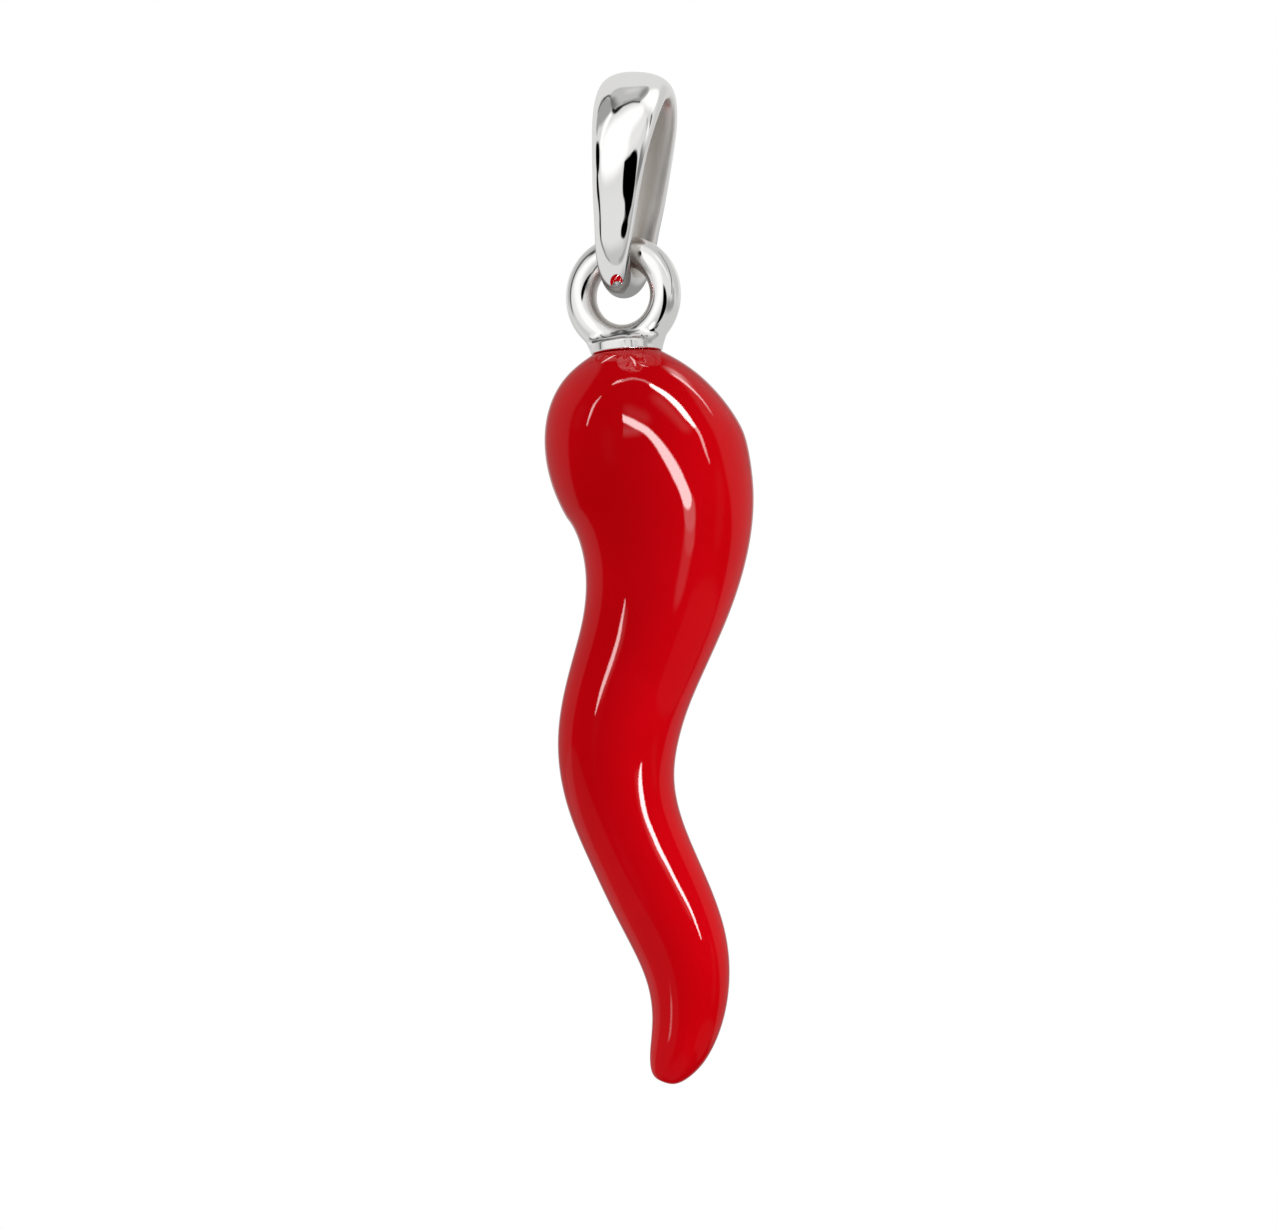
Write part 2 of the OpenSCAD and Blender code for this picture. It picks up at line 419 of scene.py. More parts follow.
# %% [markdown]
# ## Seat and bore
#
# Under the collar the horn has a small flat seat and a blind hole for the cap's peg. Nobody
# sees the hole once it is glued, but the charm is hollow there and the mesh should say so.
# A boolean would cut it, at the price of slivers round the rim. The sheet's top edge is already
# a clean ring, so it is drawn inwards, down the hole and shut, ring by ring.

# %% Draw the open rim inwards
def rim_edges(bm):
    return [edge for edge in bm.edges if edge.is_boundary]


def draw_ring(bm, radius, height):
    made = bmesh.ops.extrude_edge_only(bm, edges=rim_edges(bm))["geom"]
    points = [part for part in made if isinstance(part, bmesh.types.BMVert)]
    for point in points:
        flat = Vector((point.co.x, point.co.y, 0)).normalized() * radius
        point.co = (flat.x, flat.y, height)


bm = bmesh.new()
bm.from_mesh(horn_piece.data)
bore_r = PEG_D / 2 + GLUE_GAP
draw_ring(bm, bore_r, 0)
draw_ring(bm, bore_r, -PEG_L - BORE_SPARE)
bmesh.ops.contextual_create(bm, geom=rim_edges(bm))
bmesh.ops.recalc_face_normals(bm, faces=bm.faces)
print("horn volume", round(bm.calc_volume(signed=True), 1), "mm3, open edges", len(rim_edges(bm)))
bm.to_mesh(horn_piece.data)
bm.free()

# %% [markdown]
# ## The bail
#
# The bail is one length of metal: a wide domed band where it arches over the chain, tapering
# down both strands to a round wire that turns through the eyelet. It could be bent from a
# straight bar, but then path and taper hide in each other. Here both are one closed table of
# rise, reach and spread, where spread says how far the section has gone from round wire to
# band. The section is a superellipse, so the same few lines give the round wire, the dome and
# the flat inside, with no edge appearing in between.

# %% Bail path
STRAND_ROWS = [
    # rise from the bottom turn, reach from the middle, spread of the section
    (0.16, 0.82, 0.26),
    (0.33, 0.98, 0.40),
    (0.51, 1.01, 0.54),
    (0.68, 0.98, 0.70),
    (0.84, 0.82, 0.90),
    (0.975, 0.46, 1.00),
    (1.02, 0.00, 1.00),
]
TURN_STEP = math.radians(45)
# A cubic spline runs inside its rows, and with this reach it lies on the turn's own circle
TURN_REACH = TURN_R * 3 / (2 + math.cos(TURN_STEP))
TURN_SPREADS = (0, 0.01, 0.14)


def turn_row(step):
    angle = step * TURN_STEP
    height = TURN_AXIS_Z - TURN_REACH * math.cos(angle)
    return Vector((TURN_REACH * math.sin(angle), height, TURN_SPREADS[abs(step)]))


def strand_row(row, side):
    rise, reach, spread = row
    return Vector((side * reach * BAIL_GAP / 2, TURN_AXIS_Z * (1 - rise), spread))


BAIL_ROWS = (
    [turn_row(step) for step in (0, 1, 2)]
    + [strand_row(row, 1) for row in STRAND_ROWS]
    + [strand_row(row, -1) for row in reversed(STRAND_ROWS[:-1])]
    + [turn_row(step) for step in (-2, -1)]
)
bail_guide = guide_curve("bail_guide", BAIL_ROWS, closed=True)
print(len(BAIL_ROWS), "rows round the loop")

# %% Bail section
# Powers of the superellipse: 2 is round, and more is squarer
ROUND_POWER, DOME_POWER, FLAT_POWER = 2.0, 2.3, 4.0
# Height of the widest line, as a share of the thickness
WIRE_MIDDLE, BAND_MIDDLE = 0.5, 0.3
# How fast the mark called inside rises on the inner side, and how softly it levels off
INSIDE_RISE, INSIDE_BLEND = 2.2, 0.3

tree, bail_in = new_tree("bail_sweep", [
    ("Guide", "Object"),
    ("Rings", "Int"),
    ("Sides", "Int"),
    ("Wire", "Float"),
    ("Band width", "Float"),
    ("Band thickness", "Float"),
    ("Material", "Material"),
])


def lerp(first, second, share):
    step = calc(tree, "SUBTRACT", second, first)
    return calc(tree, "ADD", first, calc(tree, "MULTIPLY", step, share))


def bulge(value, exponent):
    size = calc(tree, "POWER", calc(tree, "ABSOLUTE", value), exponent)
    return calc(tree, "MULTIPLY", size, calc(tree, "SIGN", value))


print("dome of power", DOME_POWER, "over a flat of power", FLAT_POWER)

# %% Bail tree
sheet, along, turn = open_grid(tree, bail_in["Rings"], bail_in["Sides"])
spot, way = sample(tree, bail_in["Guide"], along)
spread = spot["Z"]
half_w = calc(tree, "DIVIDE", lerp(bail_in["Wire"], bail_in["Band width"], spread), 2.0)
thick = lerp(bail_in["Wire"], bail_in["Band thickness"], spread)
edge = calc(tree, "MULTIPLY", thick, lerp(WIRE_MIDDLE, BAND_MIDDLE, spread))
dome = calc(tree, "DIVIDE", ROUND_POWER, lerp(ROUND_POWER, DOME_POWER, spread))
flat = calc(tree, "DIVIDE", ROUND_POWER, lerp(ROUND_POWER, FLAT_POWER, spread))
rise, side = calc(tree, "SINE", turn), calc(tree, "COSINE", turn)
above = calc(tree, "GREATER_THAN", rise, 0.0)
power = lerp(flat, dome, above)
height = lerp(edge, calc(tree, "SUBTRACT", thick, edge), above)
out = calc(tree, "ADD", calc(tree, "MULTIPLY", height, bulge(rise, power)), edge)
# The guide's direction also holds the change of spread, so its part in the plane is made 1 long
steep = calc(tree, "ADD", calc(tree, "POWER", way["X"], 2.0), calc(tree, "POWER", way["Y"], 2.0))
reach = calc(tree, "DIVIDE", out, calc(tree, "SQRT", steep))
place = put(tree, "ShaderNodeCombineXYZ", {
    "X": calc(tree, "MULTIPLY", half_w, bulge(side, power)),
    "Y": calc(tree, "ADD", spot["X"], calc(tree, "MULTIPLY", reach, way["Y"])),
    "Z": calc(tree, "SUBTRACT", spot["Y"], calc(tree, "MULTIPLY", reach, way["X"])),
})
sunk = calc(tree, "SMOOTH_MIN", calc(tree, "MULTIPLY", rise, -INSIDE_RISE), 1.0, INSIDE_BLEND)
inner = calc(tree, "MAXIMUM", sunk, 0.0)
marked = put(tree, "GeometryNodeStoreNamedAttribute", {
    "Geometry": sheet,
    "Name": "inside",
    "Value": inner,
}, data_type="FLOAT", domain="POINT")
close_up(tree, marked.outputs[0], place.outputs[0], bail_in["Material"])
print("bail tree has", len(tree.nodes), "nodes")

# %% Build the bail
BAIL_RINGS, BAIL_SIDES = 420, 160

bail_piece = run_tree(tree, "bail_loop", {
    "Guide": bail_guide,
    "Rings": BAIL_RINGS,
    "Sides": BAIL_SIDES,
    "Wire": BAIL_WIRE,
    "Band width": BAIL_W,
    "Band thickness": BAIL_T,
    "Material": silver,
})
bm = bmesh.new()
bm.from_mesh(bail_piece.data)
bmesh.ops.recalc_face_normals(bm, faces=bm.faces)
print("bail volume", round(bm.calc_volume(signed=True), 1), "mm3, open edges", len(rim_edges(bm)))
bm.to_mesh(bail_piece.data)
bm.free()

# %% [markdown]
# ## The eyelet, its collar and its peg
#
# The eyelet is a ring soldered to a collar, and solder flows into the corner, so the two melt
# into one skin. Modelling that corner by hand takes a patch of faces that never quite lies
# still under a reflection. Here the shape is a formula instead: the distance to a ring and to
# a round-edged disc, joined with a rounded corner. A voxel remesh of two rough solids gives an
# even net of faces, each point is moved onto the formula's surface, and the formula's
# own slope becomes the normal, so the mirror finish has nothing to trip over.

# %% The cap as a formula
COLLAR_EDGE = 0.07
FILLET = 0.36


def length(*sides):
    return np.sqrt(sum(side * side for side in sides))


def disc(radius, low, high, rounding, x, y, z):
    beyond = length(x, y) - radius + rounding
    over = np.abs(z - (low + high) / 2) - (high - low) / 2 + rounding
    outside = length(np.maximum(beyond, 0), np.maximum(over, 0))
    return outside + np.minimum(np.maximum(beyond, over), 0) - rounding


def cap_distance(points):
    x, y, z = points.T
    ring = length(length(x, z - RING_Z) - RING_R, y) - RING_WIRE / 2
    ring = np.maximum(ring, SEAT_Z + COLLAR_EDGE - z)
    collar = disc(COLLAR_D / 2, SEAT_Z, SEAT_Z + COLLAR_H, COLLAR_EDGE, x, y, z)
    corner = length(np.maximum(FILLET - ring, 0), np.maximum(FILLET - collar, 0))
    melted = np.maximum(FILLET, np.minimum(ring, collar)) - corner
    peg = disc(PEG_D / 2, SEAT_Z - PEG_L, SEAT_Z + COLLAR_H / 2, COLLAR_EDGE, x, y, z)
    return np.minimum(melted, peg)


def cap_slope(points):
    small = 1e-4
    steps = np.eye(3) * small
    return np.stack(
        [(cap_distance(points + s) - cap_distance(points - s)) / (2 * small) for s in steps], 1
    )


print("distance at the hinge", round(float(cap_distance(np.zeros((1, 3)))[0]), 3), "mm")

# %% Rough solids
ROUGH_SIDES, ROUGH_WIRE_SIDES = 96, 48


def spin_profile(bm, profile, axis, centre, full_ring):
    points = [bm.verts.new(co) for co in profile]
    count = len(points) if full_ring else len(points) - 1
    edges = [bm.edges.new((points[i], points[(i + 1) % len(points)])) for i in range(count)]
    bmesh.ops.spin(
        bm, geom=points + edges, cent=centre, axis=axis, angle=math.tau, steps=ROUGH_SIDES,
        use_merge=True, use_duplicate=False,
    )


def wire_circle(count):
    turns = [math.tau * i / count for i in range(count)]
    radius = RING_WIRE / 2
    return [(RING_R + radius * math.cos(a), radius * math.sin(a), RING_Z) for a in turns]


bm = bmesh.new()
spin_profile(bm, wire_circle(ROUGH_WIRE_SIDES), (0, 1, 0), (0, 0, RING_Z), True)
low, high = SEAT_Z - PEG_L, SEAT_Z + COLLAR_H
outline = [
    (0, 0, low),
    (PEG_D / 2, 0, low),
    (PEG_D / 2, 0, SEAT_Z),
    (COLLAR_D / 2, 0, SEAT_Z),
    (COLLAR_D / 2, 0, high),
    (0, 0, high),
]
spin_profile(bm, outline, (0, 0, 1), (0, 0, 0), False)
bmesh.ops.remove_doubles(bm, verts=bm.verts, dist=MERGE_AT)
bmesh.ops.recalc_face_normals(bm, faces=bm.faces)
cap_piece = bpy.data.objects.new("eyelet_and_collar", bpy.data.meshes.new("eyelet_and_collar"))
scene.collection.objects.link(cap_piece)
bm.to_mesh(cap_piece.data)
bm.free()
print("rough solids with", len(cap_piece.data.polygons), "faces")

# %% An even net, pulled onto the formula
VOXEL = 0.045
PULLS = 12
# In a sharp corner the formula's slope is short, and this keeps a pull from overshooting there
SLOPE_FLOOR = 0.05

remesh = cap_piece.modifiers.new("net", "REMESH")
remesh.mode = "VOXEL"
remesh.voxel_size = VOXEL
graph = bpy.context.evaluated_depsgraph_get()
net = bpy.data.meshes.new_from_object(cap_piece.evaluated_get(graph))
cap_piece.modifiers.remove(remesh)
cap_piece.data = net
net.name = "eyelet_and_collar"
net.materials.clear()
net.materials.append(silver)

points = np.empty(len(net.vertices) * 3)
net.vertices.foreach_get("co", points)
points = points.reshape(-1, 3)
for _ in range(PULLS):
    slope = cap_slope(points)
    steep = np.maximum((slope**2).sum(1), SLOPE_FLOOR)
    points -= slope * (cap_distance(points) / steep)[:, None]
net.vertices.foreach_set("co", points.ravel())
net.update()
print(len(points), "points, at most", f"{np.abs(cap_distance(points)).max():.1e}", "mm off")

# %% Mark the ring's inner side
INSIDE_START = 0.9

from_hole = length(points[:, 0], points[:, 2] - RING_Z)
depth = (RING_R - from_hole) / (RING_WIRE / 2)
inner = np.clip(depth * INSIDE_RISE - INSIDE_START, 0, 1)
net.attributes.new("inside", "FLOAT", "POINT").data.foreach_set("value", inner)
print(int((inner > 0).sum()), "points of the ring are left satin")

# %% [markdown]
# ## Finishing and placing the pieces
#
# All three get smooth shading. Only real edges stay sharp: the rim of the horn's seat and the
# bore. An angle is enough to tell them from the rest. The cap could be shaded that way too, but
# its normals are worked out from the formula, which knows the surface better than the net does.
# The matrices from the beginning put the pieces into the frame, and each takes the place of its
# plain solid and rides on that solid's body.

# %% Smooth, place and hand over
SHARP_FROM = math.radians(50)


def finish_piece(piece, place, node, body):
    mesh = piece.data
    mesh.transform(place)
    mesh.shade_smooth()
    mesh.set_sharp_from_angle(angle=SHARP_FROM)
    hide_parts(node)
    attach(piece, body)
    count = sum(len(face.vertices) - 2 for face in mesh.polygons)
    print(piece.name, "stands for", node, "with", count, "triangles")


finish_piece(bail_piece, BAIL_PLACE, "bail", "bail")
finish_piece(cap_piece, PENDANT_PLACE, "eyelet_cap", "pendant")
finish_piece(horn_piece, HORN_PLACE, "horn", "pendant")

# The formula's slope, turned with the piece, is the cap's own smooth normal
slope = cap_slope(points)
slope /= np.linalg.norm(slope, axis=1)[:, None]
turned = slope @ np.array(PENDANT_PLACE.to_3x3().normalized()).T
cap_piece.data.normals_split_custom_set_from_vertices(turned)
for guide in (horn_guide, bail_guide):
    bpy.data.objects.remove(guide)
print("guides removed")

# %% [markdown]
# ## Camera
#
# The charm was seen from a little to its right and a little below, through a long lens, which
# keeps the ring and the tip in true proportion. A long lens from far away and not a short one
# close by is what makes small jewellery look like itself.

# %% Camera at the photograph's angle
IMAGE_W, IMAGE_H = 1278, 1230
PX_PER_MM = 29
CAMERA_AZ, CAMERA_EL = math.radians(20), math.radians(-4.8)
CAMERA_AWAY = 490 * MM
AXIS_PX = (IMAGE_W / 2, IMAGE_H / 2)
ORIGIN_PX = (636.4, 101)
SENSOR_MM = 36
CLIP_NEAR, CLIP_FAR = 0.01, 20


def toward(az, el):
    return Vector((math.sin(az) * math.cos(el), -math.cos(az) * math.cos(el), math.sin(el)))


to_camera = toward(CAMERA_AZ, CAMERA_EL)
right = Vector((math.cos(CAMERA_AZ), math.sin(CAMERA_AZ), 0))
up = to_camera.cross(right)
aim = (
    right * (AXIS_PX[0] - ORIGIN_PX[0]) - up * (AXIS_PX[1] - ORIGIN_PX[1])
) / PX_PER_MM * MM

camera = bpy.data.objects.new("camera", bpy.data.cameras.new("camera"))
scene.collection.objects.link(camera)
camera.data.sensor_width = SENSOR_MM
camera.data.lens = SENSOR_MM * CAMERA_AWAY / (IMAGE_W / PX_PER_MM * MM)
camera.matrix_world = (
    Matrix.Translation(aim + to_camera * CAMERA_AWAY)
    @ Matrix((right, up, to_camera)).transposed().to_4x4()
)
camera.data.clip_start = CLIP_NEAR
camera.data.clip_end = CLIP_FAR
scene.camera = camera
print("lens", round(camera.data.lens), "mm from", round(CAMERA_AWAY, 3), "m")

# %% [markdown]
# ## Floor and white surroundings
#
# Jewellery is shot on white. In a studio a bent sheet of paper gives floor and back in one, at
# the price of a grey fold. Here the floor is a wide pale disc well under the hanging charm, and
# behind it the camera sees a plain white world. That world lights nothing, so that the metal
# mirrors only what is painted for it.

# %% Floor
FLOOR_Z = -85 * MM
FLOOR_R = 2.5
FLOOR_SIDES = 96

bm = bmesh.new()
bmesh.ops.create_circle(bm, cap_ends=True, radius=FLOOR_R, segments=FLOOR_SIDES)
bmesh.ops.translate(bm, verts=bm.verts, vec=(0, 0, FLOOR_Z))
floor = bpy.data.objects.new("floor", bpy.data.meshes.new("floor"))
bm.to_mesh(floor.data)
bm.free()
scene.collection.objects.link(floor)
paper, tree, shader, place = new_material("pale_paper")
shader.inputs["Roughness"].default_value = 0.9
grain = mix(tree, noise(tree, place, 900, 3), (0.86, 0.86, 0.85, 1), (0.9, 0.9, 0.89, 1))
tree.links.new(grain, shader.inputs["Base Color"])
floor.data.materials.append(paper)
floor.visible_glossy = False
print("floor", FLOOR_R, "m wide to each side")

# %% White world
world = bpy.data.worlds.new("white_world")
scene.world = world
world.use_nodes = True
tree = world.node_tree
seen = put(tree, "ShaderNodeLightPath").outputs["Is Camera Ray"]
tree.links.new(seen, tree.nodes["Background"].inputs["Strength"])
tree.nodes["Background"].inputs["Color"].default_value = (1, 1, 1, 1)
scene.view_settings.view_transform = "Standard"
print("world white to the camera alone")

# %% [markdown]
# ## Lighting a mirror
#
# A mirror has no look of its own, it shows the room. Jewellery is therefore shot inside a tent
# of white cloth with dark cards at chosen places, which the metal shows as black lines. Area
# lamps could stand in for cloth and cards, but a lamp is evenly bright, and the soft falls from
# white to grey are what makes metal look like metal. So the room is painted on a sphere round
# the charm, as strokes of light. A stroke is a short row of directions, each with a width, like
# tape on the inside of a tent, and a smooth row of points is laid through them. Azimuths are
# counted to the right of the camera.

# %% Directions and smooth rows
ROW_POINTS = 24


def directions(az, el):
    az, el = np.radians(az) + CAMERA_AZ, np.radians(el)
    flat = np.cos(el)
    return np.stack([np.sin(az) * flat, -np.cos(az) * flat, np.sin(el)], -1)


def smooth_row(marks):
    """A smooth row of points through the marks, as three columns"""
    ends = 2 * marks[0] - marks[1], 2 * marks[-1] - marks[-2]
    marks = np.array([ends[0], *marks, ends[1]])
    step = np.linspace(0, 1, ROW_POINTS + 1)[:, None]
    parts = []
    for a, b, c, d in zip(marks, marks[1:], marks[2:], marks[3:]):
        bend = (2 * a - 5 * b + 4 * c - d) * step**2 + (3 * b - a - 3 * c + d) * step**3
        parts.append(b + ((c - a) * step + bend) / 2)
    return np.concatenate(parts).T


print("rows have", ROW_POINTS, "points from mark to mark")

# %% Strokes of light
def stroke_cover(rays, soft, marks):
    """How far each ray lies under a stroke, from 0 to 1, with an edge soft degrees wide"""
    az, el, wide = smooth_row(np.array(marks if len(marks) > 1 else marks * 2, float))
    nearest = np.full(len(rays), 180.0)
    for spot, half in zip(directions(az, el), wide):
        angle = np.degrees(np.arccos(np.clip(rays @ spot, -1, 1)))
        nearest = np.minimum(nearest, angle - half)
    share = np.clip(0.5 - nearest / soft, 0, 1)
    return share * share * (3 - 2 * share)


def paint(rays, base, strokes):
    tone = np.full(len(rays), float(base))
    for value, soft, marks in strokes:
        cover = stroke_cover(rays, soft, marks)
        tone += (value - tone) * cover
    return tone


ahead = directions(np.zeros(1), np.zeros(1))
print("a stroke covers its own middle by", stroke_cover(ahead, 1, [(0, 0, 1)])[0])

# %% [markdown]
# ## Rooms that belong to one piece
#
# In a real studio one tent serves all, and each piece shows what its curve picks out of it. To
# find that tent for a whole photograph is guesswork, so light linking gives each piece rooms of
# its own, which can be painted without spoiling the next piece. The spheres also let light
# through, so one room never shades another, and where two rooms overlap their light adds up.
#
# Between two pieces of silver a ray meets a mirror twice, and the light that it then brings back
# washes out the dark lines of the first. The value echo says how bright a room still is for
# such a ray, with 1 for no change.

# %% Net of a room
def below(depth):
    return Vector((0, 0, -depth * MM))


ROOM_CENTRE = below(17)
ROOM_STEP = 1.5


def room_net(step):
    """Directions all round, step degrees apart, and the faces between them"""
    az, el = np.meshgrid(np.arange(-180, 180 + step, step), np.arange(-90, 90 + step, step))
    rows, columns = az.shape
    corner = (np.arange(rows - 1)[:, None] * columns + np.arange(columns - 1)).ravel()
    faces = np.stack([corner, corner + columns, corner + columns + 1, corner + 1], 1)
    return directions(az.ravel(), el.ravel()), faces


print("a plain room has", len(room_net(ROOM_STEP)[1]), "faces")

# %% Light of a room
SECOND_MIRROR = 1.5


def room_light(name, echo):
    material = bpy.data.materials.new(name)
    material.use_nodes = True
    material.cycles.emission_sampling = "NONE"
    tree = material.node_tree
    tree.nodes.clear()
    glow = put(tree, "ShaderNodeAttribute", attribute_name="glow").outputs["Fac"]
    bounces = put(tree, "ShaderNodeLightPath").outputs["Ray Depth"]
    again = calc(tree, "GREATER_THAN", bounces, SECOND_MIRROR)
    share = calc(tree, "MULTIPLY_ADD", again, echo - 1.0, 1.0)
    glow = calc(tree, "MULTIPLY", glow, share)
    light = put(tree, "ShaderNodeEmission", {"Color": (1, 1, 1, 1), "Strength": glow}).outputs[0]
    clear = put(tree, "ShaderNodeBsdfTransparent").outputs[0]
    both = put(tree, "ShaderNodeAddShader", {0: light, 1: clear}).outputs[0]
    put(tree, "ShaderNodeOutputMaterial", {"Surface": both})
    return material


print("a room dims once a ray is past", int(SECOND_MIRROR), "mirror")

# %% Painted room
DARK = 0.001


def receivers(name, members):
    group = bpy.data.collections.new(name)
    for member in members:
        group.objects.link(member)
    return group


def painted_room(
    name, base, strokes, members, away, centre=ROOM_CENTRE, step=ROOM_STEP, echo=1.0
):
    # A stroke is a brightness, the width of its soft edge, and marks of (azimuth, elevation,
    # half width), all in degrees. A later stroke covers the ones before it.
    rays, faces = room_net(step)
    tone = paint(rays, base, strokes)
    faces = faces[tone[faces].max(1) > DARK]
    mesh = bpy.data.meshes.new(name)
    mesh.from_pydata((np.array(centre) + rays * away).tolist(), [], faces.tolist())
    mesh.attributes.new("glow", "FLOAT", "POINT").data.foreach_set("value", tone)
    mesh.materials.append(room_light(name, echo))
    room = bpy.data.objects.new(name, mesh)
    scene.collection.objects.link(room)
    room.light_linking.receiver_collection = receivers("lit_by_" + name, members)
    room.visible_camera = False
    room.visible_diffuse = False
    print(name, "has", len(strokes), "strokes on", len(faces), "faces")


print("faces darker than", DARK, "are left out of a room")

# %% [markdown]
# ## What the bail mirrors
#
# The bail is domed and bent round, so a few millimetres of silver show nearly the whole tent:
# white cloth on both sides, a grey card overhead with thin dark lines round it, the grey table
# below, and black cards on the left and right before the charm. An environment picture would
# give a room at once, but nothing in it could be moved. A stroke can be shifted by a degree
# until its line lies where the silver needs it.

# %% Room of the bail
painted_room("bail_room", 0.74, [
    # Side walls, ground behind, white cloth left and right of the middle
    (0.62, 20, [(105, 35, 16), (125, 0, 15)]),
    (0.30, 30, [(180, -35, 40), (120, -62, 25)]),
    (1.08, 10, [(-60, 14, 8), (-45, 18, 14), (-15, 28, 20), (5, 34, 16)]),
    (1.08, 10, [(25, 56, 8), (48, 50, 14), (62, 45, 14), (70, 35, 10)]),
    (0.84, 12, [(5, 20, 9), (28, 24, 12)]),
    # Grey card overhead and its shades
    (0.52, 3, [(-64, 60, 4), (-45, 62, 11.5), (-20, 65, 12), (2, 66, 12), (18, 69, 8.5),
               (32, 71, 3)]),
    (0.66, 10, [(-35, 69, 3), (-15, 72, 3)]),
    (0.27, 8, [(6, 61, 4), (18, 66, 5), (30, 71, 2.5)]),
    (0.28, 5, [(-34, 54, 1), (-12, 57, 1.5), (4, 56, 1.5)]),
    (0.18, 8, [(-56, 55, 2.5), (-46, 50, 3)]),
    # Grey card high on the left, with a bright edge
    (0.36, 5, [(-90, 27, 4), (-85, 36, 8), (-78, 42, 12), (-66, 45, 9), (-57, 45, 4)]),
    (1.08, 3, [(-68, 20, 3.5), (-60, 30, 3.5), (-50, 41, 2)]),
    # Thin dark line from the left over the front
    (0.10, 3, [(-95, 37, 1), (-90, 44, 1.2), (-84, 51, 1.4)]),
    (0.05, 2.5, [(-84, 51, 1.2), (-77, 56, 1.2), (-70, 57, 1)]),
    (0.12, 4, [(-70, 57, 1), (-62, 55, 1.2), (-54, 51, 1.5), (-48, 47, 1.5)]),
    (0.015, 2, [(-48, 46, 1.4), (-43, 45, 2.2), (-38, 49, 1.6), (-32, 52, 1.1), (-16, 55, 0.9),
                (4, 53, 1)]),
    # Grey table below, with its shade and its sheen
    (0.56, 3, [(-45, -24, 10), (-20, -32, 17), (10, -34, 18.5), (40, -30, 17), (70, -18, 14),
               (90, -10, 8)]),
    (0.34, 8, [(28, -45, 2), (50, -38, 3.5), (70, -27, 3), (86, -15, 2)]),
    (0.78, 20, [(-60, -8, 8), (-30, -14, 12), (10, -16, 10), (40, -20, 4)]),
    (0.22, 6, [(58, 4, 1.5), (72, -2, 5), (90, -3, 4), (104, 0, 2)]),
    # Black cards on the left
    (0.0, 2, [(-89, 14, 5.5), (-80, 14, 6.5)]),
    (0.0, 3, [(-86, 4, 6), (-79, -4, 4.5), (-76, -10, 3)]),
    (0.2, 5, [(-74, -12, 2.5), (-62, -21, 2.5), (-50, -33, 1.5), (-36, -42, 1)]),
    # Thin lines on the right
    (0.38, 5, [(46, 25, 1), (54, 19, 1.5), (60, 14, 1)]),
    (0.05, 4, [(66, 23, 1.5), (74, 17, 2.5), (82, 11, 1.5)]),
    (1.05, 3, [(64, 16, 1), (74, 10, 2), (86, 5, 1)]),
    # Black card straight before the charm
    (0.0, 1.2, [(-7, 8, 0.6), (0, 3.5, 5.5), (8, -0.5, 9.5), (18, -2.5, 12), (28, -5.8, 13.2)]),
    (0.0, 1.2, [(28, -5.8, 13.2), (40, -8.7, 12), (52, -11, 9), (62, -12, 5.4)]),
], [bail_piece], away=10 * MM, centre=below(3), step=1)

# %% [markdown]
# ## What the eyelet and the collar mirror
#
# The eyelet is a round wire in a round ring, so it squeezes the tent into lines that run along
# the wire, and black lines make it read as round. Its ring and collar also mirror each other,
# the bail and the red horn. The tent could be left to do all of it, but the light that comes
# back from the second mirror would fill the dark lines, so echo is low here. The collar's front
# is nearly flat from top to bottom and shows one plain pale patch, which a small card close to
# it gives.

# %% Room of the cap
painted_room("cap_room", 0.60, [
    # Walls
    (0.78, 24, [(180, 20, 20), (-150, 10, 14)]),
    (0.68, 15, [(-110, -22, 15)]),
    (0.58, 16, [(75, 50, 20), (92, 20, 22), (60, 70, 12)]),
    (0.50, 14, [(-110, 45, 12), (-112, 25, 12), (-108, 8, 11)]),
    # White cloth
    (0.84, 20, [(-60, 5, 20), (-35, 15, 24), (-15, 40, 24), (8, 55, 16)]),
    (1.05, 12, [(-62, 14, 5), (-45, 14, 11), (-25, 18, 13), (-14, 32, 9)]),
    (1.00, 10, [(24, 50, 6), (34, 30, 4)]),
    # Grey cards left and right
    (0.38, 12, [(-92, 0, 8), (-90, 20, 9), (-88, 38, 9), (-80, 52, 9), (-68, 46, 7)]),
    (0.33, 12, [(28, -8, 8), (45, -12, 8), (62, -8, 9)]),
    (0.38, 10, [(60, 6, 8)]),
    # Black lines right, left and below, and the black card before the charm
    (0.05, 4, [(100, 62, 1), (75, 54, 1.5), (65, 38, 2), (55, 21, 2.5), (46, 6, 1.5)]),
    (0.05, 7, [(-68, 34, 2), (-80, 40, 4), (-88, 36, 4.5), (-92, 24, 4.5), (-91, 8, 4),
               (-90, -4, 2)]),
    (0.05, 4, [(-50, 51, 1), (-66, 58, 2), (-80, 60, 2.5), (-78, 55, 2), (-62, 43, 1.5),
               (-48, 26, 1)]),
    (0.05, 3, [(-12, -34, 4), (14, -34, 4)]),
    (0.0, 4, [(-6, 7, 5.5), (1, 2, 9), (8, -8, 11.5), (9, -17, 9.5), (6, -24, 5)]),
], [cap_piece], away=12 * MM, centre=below(7), step=1, echo=0.35)

# %% Card before the collar
painted_room("collar_card", 0.0, [
    (0.75, 6, [(-4, -3, 9), (-4, 9, 9)]),
], [cap_piece], away=2.6 * MM, centre=below(8.8), echo=0.15)

# %% [markdown]
# ## What the enamel mirrors
#
# Enamel throws back about a twenty-fifth of the light that meets it straight on, and far more
# near its outline. A tent as bright as the silver's would lay a milky veil over the red, so this
# room is almost black. Faint grey walls keep the sides from going dead, a wide one behind gives
# the outline its pale rim, and one strip, several times as bright as white cloth, runs down the
# outline on the right.

